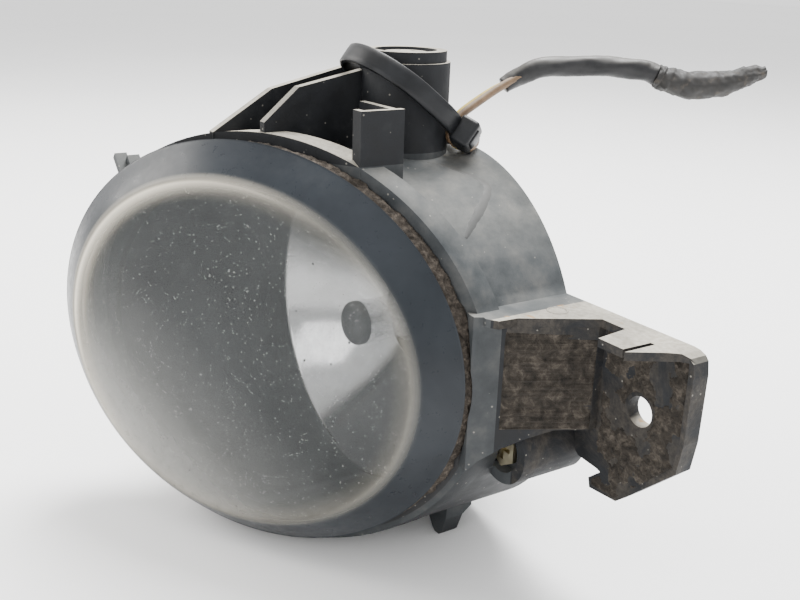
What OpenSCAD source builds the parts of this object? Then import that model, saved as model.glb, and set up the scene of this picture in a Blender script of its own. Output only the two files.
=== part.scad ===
// Round automotive fog light with a swept lens, a tilting reflector and a bayonet bulb.
// Lamp axes: X to the right, Y backwards along the barrel, Z up. The row origin is the
// middle of the screw hole in the bracket; at_mount() moves every piece there.

/* [Lens] */
// Radius of the lens, measured square to the barrel
lens_r = 48; // [46:0.5:50]
// Sweep of the lens plane about the vertical, degrees
sweep = 30; // [26:0.5:31]
// Lens wall thickness
lens_wall = 2.6; // [2:0.1:3]
// How far the lens crown stands ahead of the seal plane
lens_crown = 11.5; // [10:0.5:13]

/* [Housing] */
// Outer radius of the barrel
barrel_r = 46.2; // [45.5:0.1:46.8]
// Barrel wall thickness
barrel_wall = 2.5; // [2:0.1:2.6]
// Back edge of the barrel
barrel_back = 57; // [56.5:0.5:58]
// Outer radius of the lens flange
flange_r = 49.4; // [49:0.1:50]
// Radius of the tower body
tower_r = 10.4; // [10:0.1:11]
// Height of the tower top
tower_top = 66.9; // [65:0.1:68]

/* [Bracket] */
// Radius of the screw hole
hole_r = 3.3; // [2.7:0.1:3.4]
// Bracket plate thickness
plate_t = 3; // [2.5:0.1:3]

/* [Reflector] */
// Radius of the reflector mouth
bowl_r = 37; // [35:0.5:37.5]
// Reflector wall thickness
bowl_wall = 1.6; // [1.4:0.1:2]

/* [Hidden] */
$fn = 96;
hole = [72, 55.5, 0.5];       // screw hole centre in lamp axes
axis0 = [2.5, 0, -1.8];       // barrel axis
tower = [3, 39.5];            // tower axis
bulb = [3, 0, 2];             // bulb and reflector axis
adj = [46.5, 0, -15.5];       // adjuster axis
pivot = [34, 24];             // reflector pivot, Y and Z
crown_R = 255;                // radius of the lens face
seal_t = 3.6;                 // depth of the sealant groove
flange_t = 5;                 // depth of the flange
bowl_y = 49;                  // vertex of the reflector
bowl_4f = 62;                 // four focal lengths

module at_mount() translate([-hole[0], -hole[1], -hole[2]]) children();
// a cylinder along +Y from y0 to y1 about the axis point a
module rod(a, r, y0, y1) translate([a[0], y0, a[2]]) rotate([-90, 0, 0]) cylinder(r = r, h = y1 - y0);
// a solid of revolution about Y: outline points are [radius, y]
module turned(a, pts) translate([a[0], 0, a[2]]) rotate([-90, 0, 0]) rotate_extrude() polygon(pts);
// everything between two planes parallel to the swept seal plane
module slab(d0, d1) rotate([0, 0, sweep]) translate([-120, d0, -120]) cube([240, d1 - d0, 240]);
module block(lo, hi) translate(lo) cube([hi[0] - lo[0], hi[1] - lo[1], hi[2] - lo[2]]);
// an outline in X and Z, extruded along Y
module upright(pts, y0, y1) translate([0, y1, 0]) rotate([90, 0, 0]) linear_extrude(y1 - y0) polygon(pts);
// an outline in Y and Z, extruded along X
module fin(pts, x0, x1) translate([x0, 0, 0]) rotate([90, 0, 90]) linear_extrude(x1 - x0) polygon(pts);
// an outline in X and Y, extruded along Z
module plate(pts, z0, z1) translate([0, 0, z0]) linear_extrude(z1 - z0) polygon(pts);

// lens blank: the barrel-parallel skirt and the sloping rim under a gently domed face
module lens_blank(r, R, back, rim_r)
  intersection() {
    rod([0, 0, 0], r, -70, 60);
    slab(-14, back);
    rotate([0, 0, sweep]) translate([0, crown_R - lens_crown, 0]) sphere(r = R, $fn = 120);
    rotate([0, 0, sweep]) scale([1 / cos(sweep), 1, 1]) translate([0, 1, 0]) rotate([90, 0, 0])
      cylinder(r1 = rim_r + 1.118, r2 = rim_r - 15.65, h = 15);
  }

module front_lens() color([0.62, 0.68, 0.72, 0.45]) at_mount()
  difference() {
    lens_blank(lens_r, crown_R, 0, lens_r + 0.35);
    lens_blank(lens_r - lens_wall, crown_R - lens_wall, 1, lens_r - 2.9);
  }

module lens_sealant() color([0.24, 0.19, 0.14]) at_mount()
  intersection() {
    difference() {
      rod([0, 0, 0], lens_r - 0.4, -50, 60);
      rod([0, 0, 0], lens_r - lens_wall, -51, 61);
    }
    slab(0, seal_t);
  }

arm_pts = [[43, 32], [49.5, 30.5], [52, 32], [52.3, 36.6], [61, 51.9], [61, barrel_back], [43, barrel_back]];
module bracket() {
  // top plate with its notch, tongue and slit, rounded off at the outer corner
  intersection() {
    plate([[43, 32], [49.5, 30.5], [52, 32], [52.3, 36.6], [61, 51.9], [67.6, 51.9],
      [68.8, 43.4], [75.5, 43.4], [75.6, 50.7], [76.7, 50.7], [76.7, 42.6], [82.3, 51.8],
      [84.9, 53.4], [84.9, barrel_back], [43, barrel_back]], 15.6, 17.4);
    upright([[40, 15], [85, 15], [84.8, 15.7], [84, 16.6], [82.6, 17.2], [81, 17.4], [40, 17.4]], 20, 60);
  }
  // diagonal side wall, running straight out of the flange and deeper there
  difference() {
    intersection() {
      plate([[40, 30], [47.6, 28.9], [48.2, 30], [60.4, 52], [60.4, barrel_back],
        [57.8, barrel_back], [57.8, 53], [49.2, 38.4], [40, 38.4]], -26, 17.4);
      fin([[27, 17.4], [27, -20.4], [31.1, -15.6], [35.5, -12.6], [40.2, -10.2], [45.3, -8.2], [58, -8], [58, 17.4]], 39, 62);
      slab(0.6, 90);
    }
    intersection() { rod([0, 0, 0], lens_r - 0.1, -50, 60); slab(-6, seal_t + 0.8); }
  }
  // web behind the side wall
  block([45, 46, -8], [54.6, 48, 16.5]);
  // back plate with its hooked lower corner
  upright([[44, 17.4], [81, 17.4], [82.6, 17.2], [84, 16.6], [84.8, 15.7], [85.2, 13],
    [85, -1.2], [84, -7.8], [72.6, -18.2], [68.2, -22.1], [60.2, -22.6], [59.6, -20.4],
    [62.9, -17.6], [61.7, -17.2], [55.9, -16.7], [52.9, -14.3], [44, -13.4]],
    barrel_back - plate_t, barrel_back);
  // low bead along the outer edge
  upright([[83.6, 16.6], [84.8, 15.7], [85.2, 13], [85, -1.2], [84, -7.8], [83, -7], [83.9, -1.2], [83.9, 13]],
    52.8, barrel_back);
}

module adjuster_tube() rod(adj, 8.2, 39.5, barrel_back);

module rear_housing() color([0.23, 0.24, 0.25]) at_mount()
  difference() {
    union() {
      // lens flange
      intersection() { rod([0, 0, 0], flange_r, -50, 60); slab(seal_t, seal_t + flange_t); }
      // barrel
      intersection() { rod(axis0, barrel_r, -50, barrel_back); slab(seal_t + 1, 150); }
      adjuster_tube();
      bracket();
      // tower: body, shoulder and top ring
      translate([tower[0], tower[1], 36]) cylinder(r = tower_r, h = 28.4);
      translate([tower[0], tower[1], 36]) cylinder(r = 9.5, h = tower_top - 36);
      // near and far upright ribs
      fin([[4.8, 44], [4.8, 51.6], [13.3, 58.9], [30.9, 62.5], [36, 62.6], [36, 42]], -1.8, 0.4);
      fin([[-2.4, 42], [-2.4, 48.2], [12.3, 57.3], [32.1, 62], [44, 62], [44, 40]], -13.2, -11);
      block([-13.2, 41.8, 40], [3, 44, 50]);
      // upright clip, L-shaped in plan
      block([20.2, 16.6, 38], [21.8, 27.4, 56.3]);
      block([5.6, 25.8, 41], [21.8, 27.4, 56]);
      block([18.4, 16.6, 40], [21.8, 18, 56.3]);
      // small hook on the left
      translate([-36.6, -12.5, 35.2]) rotate([0, 44, 0]) cube([6, 3, 6], center = true);
      translate([-38.2, -14.6, 36.8]) rotate([0, 44, 0]) cube([6, 3, 1.8], center = true);
      // tapered leg
      upright([[18.6, -40], [27.6, -38], [27, -44], [25.2, -48.6], [24.4, -49.4], [22.6, -49.4], [21.6, -48.6], [19.4, -45.4]], 40, 45);
      fin([[45, -40], [50, -40], [50, -44], [45, -47.5]], 22.2, 24.2);
      // bulb socket ring and its gussets
      rod(bulb, 15.4, 49, 61);
      for (a = [20 : 60 : 320]) translate([bulb[0], 54, bulb[2]]) rotate([0, a, 0]) translate([14, -1.5, -0.9]) cube([8, 5, 1.8]);
    }
    // inside of the flange and of the barrel
    intersection() { rod([0, 0, 0], lens_r - lens_wall - 0.1, -50, 45); slab(-5, seal_t + flange_t - 2.2); }
    difference() {
      intersection() { rod(axis0, barrel_r - barrel_wall, -50, 51); slab(seal_t + 1.5, 150); }
      rod(adj, 8.2, 39, 51.1);
      rod(bulb, 15.4, 49, 51.1);
      
    }
    // hollow of the back rim
    difference() {
      rod(axis0, barrel_r - 3.4, 54, 60);
      rod(bulb, 15.4, 53, 61);
      rod(adj, 8.2, 53, 61);
      for (a = [20 : 60 : 320]) translate([bulb[0], 54, bulb[2]]) rotate([0, a, 0]) translate([14, -1.5, -0.9]) cube([8, 5, 1.8]);
    }
    // bayonet bore, with three slots for the bulb's lugs
    rod(bulb, 10.4, 45, 62);
    for (a = [60 : 120 : 300]) translate([bulb[0], 48, bulb[2]]) rotate([0, a, 0]) translate([9, 0, -2.6]) cube([3.9, 14, 5.2]);
    // adjuster: access recess, shank hole, nut chamber and the window into the barrel
    rod(adj, 5.6, 39, 42.5);
    rod(adj, 2.56, 42, 45);
    rod(adj, 6, 44, 58);
    block([34, 44.6, -17.4], [44, 51.6, -13.6]);
    block([32.4, 44, -20.4], [38.6, 52.6, -11]);
    // tower bore and breather passage
    translate([tower[0], tower[1], 61]) cylinder(r = 7.2, h = 8);
    translate([tower[0], tower[1], 38]) cylinder(r = 4, h = 30);
    // screw hole
    rod([hole[0], 0, hole[2]], hole_r, 50, 60);
  }

module vent_cap() color([0.2, 0.21, 0.22]) at_mount() translate([tower[0], tower[1], 0])
  difference() {
    union() {
      translate([0, 0, 61]) cylinder(r = 7.2, h = 4.6);
      translate([0, 0, 65]) cylinder(r = 5.2, h = 1.4);
    }
    translate([0, 0, 60]) cylinder(r = 5, h = 3);
    for (a = [0 : 60 : 300]) rotate([0, 0, a]) translate([3.4, 0, 62]) cylinder(r = 0.6, h = 5, $fn = 24);
  }
module vent_membrane() color([0.85, 0.85, 0.82]) at_mount()
  translate([tower[0], tower[1], 62.5]) cylinder(r = 5, h = 0.5);

module pivot_brackets() color([0.3, 0.31, 0.32]) at_mount()
  intersection() {
    for (s = [-1, 1]) difference() {
      block([bulb[0] + s * 32.2 - 1.1, 31.3, 21], [bulb[0] + s * 32.2 + 1.1, 51, 27]);
      translate([bulb[0] + s * 32.2 - 3, pivot[0], pivot[1]]) rotate([0, 90, 0]) cylinder(r = 1.56, h = 6, $fn = 48);
    }
    rod(axis0, 43.6, 30, 52);
  }

module adjuster_bush() color([0.75, 0.74, 0.7]) at_mount()
  difference() { rod(adj, 6, 55, barrel_back); rod(adj, 1.66, 54, 58); }

function bowl_pt(r, t) = [r + t * 0.9, bowl_y - r * r / bowl_4f + t * 0.45];
module reflector() color([0.82, 0.83, 0.85]) at_mount()
  difference() {
    union() {
      turned(bulb, concat([[0, bowl_pt(bowl_r, 0)[1]]],
        [for (i = [12 : -1 : 0]) bowl_pt(14 + i * (bowl_r - 14) / 12, bowl_wall)], [[0, bowl_pt(14, bowl_wall)[1]]]));
      for (s = [-1, 1]) block([bulb[0] + s * 26.5 - 4.2, 32, 21.6], [bulb[0] + s * 26.5 + 4.2, 36, 26.4]);
      block([33.5, 32, -18.6], [37.8, 50.2, -12.6]);
      block([27, 32, -18.6], [34, 37, -12.6]);
    }
    turned(bulb, concat([[0, bowl_pt(bowl_r, 0)[1] - 3], [bowl_r + 0.1, bowl_pt(bowl_r, 0)[1] - 3]],
      [for (i = [12 : -1 : 0]) bowl_pt(14 + i * (bowl_r - 14) / 12, 0)], [[0, bowl_pt(14, 0)[1]]]));
    rod(bulb, 14, 40, 60);
    block([35.2, 46.65, -20], [39, 48.95, -10]);
    for (s = [-1, 1]) translate([bulb[0] + s * 28.5 - 3, pivot[0], pivot[1]]) rotate([0, 90, 0]) cylinder(r = 1.5, h = 6, $fn = 48);
  }
module pivot_pins() color([0.6, 0.6, 0.62]) at_mount()
  for (s = [-1, 1]) translate([bulb[0] + s * 29.5 - 3.5, pivot[0], pivot[1]]) rotate([0, 90, 0]) cylinder(r = 1.5, h = 7, $fn = 48);

module adjuster_screw() color([0.7, 0.66, 0.52]) at_mount() {
  difference() {
    union() {
      translate([adj[0], 39.9, adj[2]]) rotate([-90, 0, 0]) rotate([0, 0, 30]) cylinder(r = 4.4, h = 2.4, $fn = 6);
      rod(adj, 2.5, 42, 54.6);
      rod(adj, 1.6, 54, 57.6);
    }
    translate([adj[0], 39.7, adj[2]]) rotate([-90, 0, 0]) {
      translate([-2.6, -0.5, 0]) cube([5.2, 1, 1.8]);
      translate([-0.5, -2.6, 0]) cube([1, 5.2, 1.8]);
    }
    translate([adj[0], 43.25, adj[2]]) rotate([-90, 0, 0]) rotate_extrude() translate([2.5, 0]) circle(r = 0.5, $fn = 24);
  }
}
module adjuster_oring() color([0.08, 0.08, 0.08]) at_mount()
  translate([adj[0], 43.25, adj[2]]) rotate([-90, 0, 0]) rotate_extrude() translate([2.06, 0]) circle(r = 0.42, $fn = 24);
module adjuster_nut() color([0.86, 0.85, 0.8]) at_mount()
  difference() {
    union() { rod(adj, 5.6, 45.8, 49.8); block([36.4, 46.8, -16.6], [42.5, 48.8, -14.4]); }
    rod(adj, 2.56, 45, 51);
  }

module bulb_capsule() color([0.8, 0.85, 0.88, 0.5]) at_mount()
  difference() {
    turned(bulb, [[0, 26.6], [5.4, 26.6], [5.4, 44.6], [0, 44.6]]);
    turned(bulb, [[0, 28], [4.4, 28], [4.4, 44], [0, 44]]);
  }
module bulb_tip_shade() color([0.05, 0.05, 0.06]) at_mount()
  turned(bulb, [[0, 24.6], [2.6, 24.8], [4.4, 25.6], [5.4, 26.6], [0, 26.6]]);
module bulb_filament() color([0.5, 0.48, 0.45]) at_mount()
  rod(bulb, 0.8, 31, 35.5);
module bulb_leads() color([0.7, 0.7, 0.7]) at_mount() {
  rod([bulb[0], 0, bulb[2] + 0.8 + 0.45], 0.45, 30.6, 44);
  rod([bulb[0], 0, bulb[2] - 1.25], 0.45, 35, 44);
}
module bulb_collar() color([0.72, 0.73, 0.74]) at_mount()
  difference() {
    turned(bulb, [[0, 41.2], [6.6, 41.2], [6.6, 44.6], [8.2, 44.6], [8.2, 46.4], [0, 46.4]]);
    rod(bulb, 5.4, 40, 44.6);
  }
module bulb_base() color([0.1, 0.1, 0.11]) at_mount()
  difference() {
    union() {
      rod(bulb, 10.33, 46.4, 62);
      for (a = [15 : 120 : 255]) translate([bulb[0], 46.6, bulb[2]]) rotate([0, a, 0]) translate([8, 0, -2.2]) cube([4.4, 2, 4.4]);
      rod(bulb, 15, 61.3, 64.5);
      block([-14, 64, -6], [12, 78, 10]);
      block([-22, 64, -7], [-9, 78, 11]);
      for (a = [90 : 90 : 270]) translate([bulb[0], 62.9, bulb[2]]) rotate([0, a, 0]) translate([14.6, -1.4, -3]) cube([1.6, 2.8, 6]);
    }
    block([-24, 65.6, -5.2], [-8, 76.4, 9.2]);
    turned(bulb, [[9.2, 55.1], [12, 55.1], [12, 57.1], [9.2, 57.1]]);
  }
module bulb_oring() color([0.35, 0.16, 0.1]) at_mount()
  translate([bulb[0], 56.1, bulb[2]]) rotate([-90, 0, 0]) rotate_extrude() translate([9.28, 0]) circle(r = 0.96, $fn = 32);
module bulb_terminals() color([0.75, 0.6, 0.35]) at_mount()
  for (z = [-0.6, 4.6]) translate([0, 0, z - 1.2]) block([-17, 70.6, 0], [-8, 71.4, 2.4]);

module harness_plug() color([0.09, 0.09, 0.1]) at_mount()
  difference() {
    union() {
      block([-21.6, 66, -4.8], [-9, 76, 8.8]);
      block([-41, 65, -6], [-22.4, 77, 10]);
      block([-22.5, 66, -4.8], [-21, 76, 8.8]);
      for (s = [0, 1]) block([-36, 77, -4.5 + s * 11], [-30, 81.4, -2.5 + s * 11]);
    }
    for (z = [-0.6, 4.6]) block([-18, 70.3, z - 1.5], [-8, 71.7, z + 1.5]);
    for (z = [-0.6, 4.6]) translate([-42, 71, z]) rotate([0, 90, 0]) cylinder(r = 1, h = 8, $fn = 32);
    translate([-33, 79.6, -6]) cylinder(r = 0.76, h = 16, $fn = 32);
  }
module plug_seal() color([0.75, 0.38, 0.12]) at_mount()
  difference() {
    block([-43.4, 66.4, -4.6], [-41, 75.6, 8.6]);
    for (z = [-0.6, 4.6]) translate([-44, 71, z]) rotate([0, 90, 0]) cylinder(r = 1, h = 8, $fn = 32);
  }
module plug_latch() color([0.16, 0.16, 0.17]) at_mount() {
  difference() {
    union() {
      block([-40, 78.6, -2.1], [-20, 80.6, 6.1]);
      block([-21.6, 78.4, -2.1], [-20, 80.6, 6.1]);
      block([-40, 80.4, -2.1], [-37.6, 81.4, 6.1]);
    }
    translate([-33, 79.6, -8]) cylinder(r = 0.7, h = 20, $fn = 32);
  }
  translate([-33, 79.6, -4.4]) cylinder(r = 0.7, h = 12.8, $fn = 32);
}

// wires: one swept tube each, along hand-chosen points
yellow_pts = [[-35, 71, 4.6], [-41, 71, 4.6], [-44.6, 71, 4.6], [-48, 71, 8], [-48, 71, 13], [-46, 70, 19],
  [-42, 69, 25], [-36, 68, 31], [-29, 67, 36], [-21, 65, 41], [-13, 63, 44.6], [-5, 61, 46.8],
  [1.6, 58.4, 46.8], [7, 55.2, 45.9], [10.8, 51.8, 45.3], [12, 49, 45.5], [11.4, 47.4, 47.2], [11.1, 47.7, 49.8],
  [11.3, 49.2, 52.4], [12, 53, 55.2], [13.2, 58.4, 58.4], [15, 64, 60.8]];
brown_pts = [[-35, 71, -0.6], [-41, 71, -0.6], [-46, 71, -0.4], [-50.4, 71, 2.4], [-51, 71, 8], [-49, 70.4, 16],
  [-45, 69.6, 23], [-39.4, 69.4, 30], [-32, 68.8, 35.6], [-23.4, 67, 41], [-14, 65.4, 45], [-5, 63.6, 47.6],
  [2.4, 60.6, 47.2], [8.4, 57, 45.7], [12.2, 53, 45], [13.5, 49.6, 45.2], [12.7, 46.2, 47.4], [12.6, 46.6, 50],
  [12.8, 48.8, 52.6], [13.4, 53, 55.4], [14.3, 58.6, 58.8], [16, 64, 61.8]];
function unit(v) = v / norm(v);
function ring(p, t, r, n) = let(a = unit(cross(t, abs(t[2]) < 0.9 ? [0, 0, 1] : [1, 0, 0])), b = cross(t, a))
  [for (i = [0 : n - 1]) p + r * (cos(i * 360 / n) * a + sin(i * 360 / n) * b)];
module tube(pts, rad, n) {
  m = len(pts);
  tangents = [for (i = [0 : m - 1]) unit(pts[min(i + 1, m - 1)] - pts[max(i - 1, 0)])];
  verts = [for (i = [0 : m - 1]) each ring(pts[i], tangents[i], is_list(rad) ? rad[i] : rad, n)];
  sides = [for (i = [0 : m - 2]) for (j = [0 : n - 1])
    [i * n + j, (i + 1) * n + j, (i + 1) * n + (j + 1) % n, i * n + (j + 1) % n]];
  polyhedron(verts, concat(sides, [[for (j = [0 : n - 1]) j]], [[for (j = [n - 1 : -1 : 0]) (m - 1) * n + j]]));
}
module wire_yellow() color([0.78, 0.66, 0.2]) at_mount() tube(yellow_pts, 0.95, 8);
module wire_brown() color([0.42, 0.33, 0.22]) at_mount() tube(brown_pts, 0.95, 8);

module oval(r, h) hull() for (x = [-2.7, 2.7]) translate([x, 0, 0]) cylinder(r = r, h = h, center = true);
module cable_tie() color([0.05, 0.05, 0.06]) at_mount()
  translate([3.1, 38.9, 56.5]) rotate([0, 37.6, 87]) {
    difference() { oval(14, 4.6); oval(12.6, 6); }
    translate([2.7, 0, 0]) rotate([0, 0, -50]) {
      translate([13.3, -3, -3.4]) cube([5.2, 6, 6.8]);
      translate([16, 2.5, -2.2]) cube([1.3, 4.6, 4.4]);
    }
  }

// taped harness stub: sleeve and the ragged tape at its end
sleeve_pts = [[13.4, 60.4, 59], [14.7, 64, 61.3], [16.7, 68.3, 63.2], [20.4, 74.3, 63.9], [24.2, 80.2, 64.1], [27.6, 85, 63.9], [30.3, 89, 63.4], [32, 91, 62.6]];
sleeve_rad = [1.9, 2.3, 2.3, 2.3, 2.3, 2.4, 2.5, 2.5];
tape_pts = [[32, 91, 62.6], [33.6, 93, 61.6], [37, 97.3, 60.6], [40.8, 103.3, 61.1], [43.4, 108.5, 62.8], [45.7, 112.6, 64.2]];
tape_rad = [3, 3.6, 3.9, 3.6, 2.8, 1.6];
module harness_sleeve() color([0.09, 0.09, 0.1]) at_mount() tube(sleeve_pts, sleeve_rad, 10);
module harness_tape() color([0.11, 0.11, 0.12]) at_mount() tube(tape_pts, tape_rad, 12);

rear_housing();
front_lens();
lens_sealant();
vent_cap();
vent_membrane();
pivot_brackets();
adjuster_bush();
reflector();
pivot_pins();
adjuster_screw();
adjuster_oring();
adjuster_nut();
bulb_capsule();
bulb_tip_shade();
bulb_filament();
bulb_leads();
bulb_collar();
bulb_base();
bulb_oring();
bulb_terminals();
harness_plug();
plug_seal();
plug_latch();
wire_yellow();
wire_brown();
cable_tie();
harness_sleeve();
harness_tape();
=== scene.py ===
import bpy, bmesh, math, random
from mathutils import Vector, Matrix, noise


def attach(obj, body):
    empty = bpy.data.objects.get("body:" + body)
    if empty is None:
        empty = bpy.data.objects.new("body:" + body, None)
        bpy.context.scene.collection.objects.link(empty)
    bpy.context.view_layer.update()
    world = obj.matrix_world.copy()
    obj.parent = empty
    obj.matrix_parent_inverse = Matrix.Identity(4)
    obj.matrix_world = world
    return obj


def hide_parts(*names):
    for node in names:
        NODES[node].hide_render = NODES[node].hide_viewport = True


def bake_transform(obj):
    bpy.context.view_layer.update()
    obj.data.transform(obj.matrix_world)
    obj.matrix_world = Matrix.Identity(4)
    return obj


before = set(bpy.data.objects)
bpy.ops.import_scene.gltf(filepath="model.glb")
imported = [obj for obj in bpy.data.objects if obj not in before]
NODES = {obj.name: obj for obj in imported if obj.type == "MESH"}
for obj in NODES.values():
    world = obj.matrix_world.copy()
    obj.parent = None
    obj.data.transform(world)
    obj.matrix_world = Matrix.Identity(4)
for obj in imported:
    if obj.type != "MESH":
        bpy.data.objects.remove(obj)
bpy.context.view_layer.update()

# ---------------------------------------------------------------- frame helpers
HOLE = (72.0, 55.5, 0.5)


def L(x, y, z):
    """A point in lamp millimetres, in the row frame in metres."""
    return Vector(((x - HOLE[0]) / 1000, (y - HOLE[1]) / 1000, (z - HOLE[2]) / 1000))


SWEEP = math.radians(30)
UX = Vector((math.cos(SWEEP), math.sin(SWEEP), 0))
BACK = Vector((-math.sin(SWEEP), math.cos(SWEEP), 0))


# ---------------------------------------------------------------- camera
cam_data = bpy.data.cameras.new("camera")
cam = bpy.data.objects.new("camera", cam_data)
bpy.context.scene.collection.objects.link(cam)
bpy.context.scene.camera = cam
cam_data.sensor_width = 36
cam_data.lens = 45
cam_data.clip_start = 0.01
cam_data.clip_end = 20
R = Vector((0.54333, 0.83889, 0.03248))
U = Vector((-0.28567, 0.14837, 0.94677))
F = Vector((-0.78942, 0.52369, -0.32026))
m = Matrix.Identity(4)
for i in range(3):
    m[i][0], m[i][1], m[i][2] = R[i], U[i], -F[i]
m.translation = L(199.93, -90.42, 85.81)
cam.matrix_world = m


# ---------------------------------------------------------------- mesh helpers
def new_object(name, verts, faces, smooth=True):
    me = bpy.data.meshes.new(name)
    me.from_pydata([tuple(v) for v in verts], [], faces)
    me.update()
    bm = bmesh.new()
    bm.from_mesh(me)
    bmesh.ops.remove_doubles(bm, verts=bm.verts, dist=1e-7)
    bmesh.ops.recalc_face_normals(bm, faces=bm.faces)
    bm.to_mesh(me)
    bm.free()
    if smooth:
        for p in me.polygons:
            p.use_smooth = True
    ob = bpy.data.objects.new(name, me)
    bpy.context.scene.collection.objects.link(ob)
    return ob


def catmull(points, per=6):
    pts = [Vector(p) for p in points]
    out = []
    n = len(pts)
    for i in range(n - 1):
        p0 = pts[max(i - 1, 0)]
        p1, p2 = pts[i], pts[i + 1]
        p3 = pts[min(i + 2, n - 1)]
        for k in range(per):
            t = k / per
            out.append(0.5 * ((2 * p1) + (p2 - p0) * t + (2 * p0 - 5 * p1 + 4 * p2 - p3) * t * t
                              + (3 * p1 - p0 - 3 * p2 + p3) * t * t * t))
    out.append(pts[-1])
    return out


def frames(path):
    """Parallel-transported frames along a path."""
    n = len(path)
    tan = [(path[min(i + 1, n - 1)] - path[max(i - 1, 0)]).normalized() for i in range(n)]
    up = Vector((0, 0, 1)) if abs(tan[0].z) < 0.9 else Vector((1, 0, 0))
    a = tan[0].cross(up).normalized()
    out = []
    for i in range(n):
        a = (a - tan[i] * a.dot(tan[i])).normalized()
        out.append((tan[i], a, tan[i].cross(a).normalized()))
    return out


def tube(name, path, radius, sides=16, cap=True, rough=None):
    """radius(i, s, angle) in metres, for ring i of the path."""
    fr = frames(path)
    verts, faces = [], []
    n = len(path)
    for i in range(n):
        t, a, b = fr[i]
        for j in range(sides):
            ang = 2 * math.pi * j / sides
            r = radius(i, i / (n - 1), ang) if callable(radius) else radius
            verts.append(path[i] + (a * math.cos(ang) + b * math.sin(ang)) * r)
    for i in range(n - 1):
        for j in range(sides):
            k = (j + 1) % sides
            faces.append((i * sides + j, i * sides + k, (i + 1) * sides + k, (i + 1) * sides + j))
    if cap:
        faces.append(tuple(range(sides - 1, -1, -1)))
        faces.append(tuple((n - 1) * sides + j for j in range(sides)))
    return new_object(name, verts, faces)


def revolve(name, axis_x, axis_z, profile, seg=128, closed=True):
    """profile: [(radius_mm, y_mm)], turned about the Y axis through (axis_x, axis_z)."""
    verts, faces = [], []
    n = len(profile)
    for j in range(seg):
        a = 2 * math.pi * j / seg
        for r, y in profile:
            verts.append(L(axis_x + r * math.cos(a), y, axis_z + r * math.sin(a)))
    last = n if closed else n - 1
    for j in range(seg):
        k = (j + 1) % seg
        for i in range(last):
            q = (i + 1) % n
            faces.append((j * n + i, j * n + q, k * n + q, k * n + i))
    return new_object(name, verts, faces)


def bevel(ob, width=0.0004, segments=2, angle=32, weld=True):
    if weld:
        w = ob.modifiers.new("weld", "WELD")
        w.merge_threshold = 0.000004
    b = ob.modifiers.new("bevel", "BEVEL")
    b.width = width
    b.segments = segments
    b.limit_method = "ANGLE"
    b.angle_limit = math.radians(angle)
    b.use_clamp_overlap = True
    b.harden_normals = True


# ---------------------------------------------------------------- the cord comes first
sleeve_pts = [(13.4, 60.4, 59), (14.7, 64, 61.3), (16.7, 68.3, 63.2), (20.4, 74.3, 63.9), (24.2, 80.2, 64.1),
              (27.6, 85, 63.9), (30.3, 89, 63.4), (32, 91, 62.6)]
tape_pts = [(32, 91, 62.6), (33.6, 93, 61.6), (37, 97.3, 60.6), (40.8, 103.3, 61.1), (43.4, 108.5, 62.8), (45.7, 112.6, 64.2)]
sleeve_path = catmull([L(*p) for p in sleeve_pts], 8)


def sleeve_radius(i, s, a):
    base = 0.00185 + 0.00045 * min(1, s * 5)
    fold = 0.00011 * math.sin(a * 3 + s * 22) + 0.0001 * noise.noise(Vector((s * 30, a * 1.3, 2)))
    return base + fold + 0.0001 * s


sleeve = tube("sleeve_skin", sleeve_path, sleeve_radius, 24)


# ---------------------------------------------------------------- materials
def mat(name):
    mt = bpy.data.materials.new(name)
    mt.use_nodes = True
    nt = mt.node_tree
    nt.nodes.clear()
    out = nt.nodes.new("ShaderNodeOutputMaterial")
    b = nt.nodes.new("ShaderNodeBsdfPrincipled")
    nt.links.new(b.outputs[0], out.inputs[0])
    return mt, nt, b


def node(nt, kind, **props):
    n = nt.nodes.new(kind)
    for k, v in props.items():
        if k in n.inputs.keys() if hasattr(n.inputs, "keys") else False:
            n.inputs[k].default_value = v
        else:
            setattr(n, k, v)
    return n


def coords(nt):
    return nt.nodes.new("ShaderNodeTexCoord").outputs["Object"]


def noise_tex(nt, scale, detail=6, rough=0.55, vec=None, distortion=0.0):
    n = nt.nodes.new("ShaderNodeTexNoise")
    n.inputs["Scale"].default_value = scale
    n.inputs["Detail"].default_value = detail
    n.inputs["Roughness"].default_value = rough
    n.inputs["Distortion"].default_value = distortion
    nt.links.new(vec if vec is not None else coords(nt), n.inputs["Vector"])
    return n.outputs["Fac"]


def ramp(nt, fac, stops, interp="LINEAR"):
    r = nt.nodes.new("ShaderNodeValToRGB")
    r.color_ramp.interpolation = interp
    while len(r.color_ramp.elements) < len(stops):
        r.color_ramp.elements.new(0.5)
    for e, (p, c) in zip(r.color_ramp.elements, stops):
        e.position = p
        e.color = (c[0], c[1], c[2], 1) if hasattr(c, "__len__") else (c, c, c, 1)
    nt.links.new(fac, r.inputs[0])
    return r.outputs[0]


def math_node(nt, op, a, b=None, clamp=False):
    n = nt.nodes.new("ShaderNodeMath")
    n.operation = op
    n.use_clamp = clamp
    for i, v in enumerate([a, b]):
        if v is None:
            continue
        if isinstance(v, (int, float)):
            n.inputs[i].default_value = v
        else:
            nt.links.new(v, n.inputs[i])
    return n.outputs[0]


def mix_color(nt, fac, a, b, blend="MIX"):
    n = nt.nodes.new("ShaderNodeMix")
    n.data_type = "RGBA"
    n.blend_type = blend
    n.clamp_factor = True
    for sock, v in ((n.inputs[0], fac), (n.inputs[6], a), (n.inputs[7], b)):
        if isinstance(v, (int, float)):
            sock.default_value = v
        elif hasattr(v, "__len__"):
            sock.default_value = (v[0], v[1], v[2], 1)
        else:
            nt.links.new(v, sock)
    return n.outputs[2]


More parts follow.
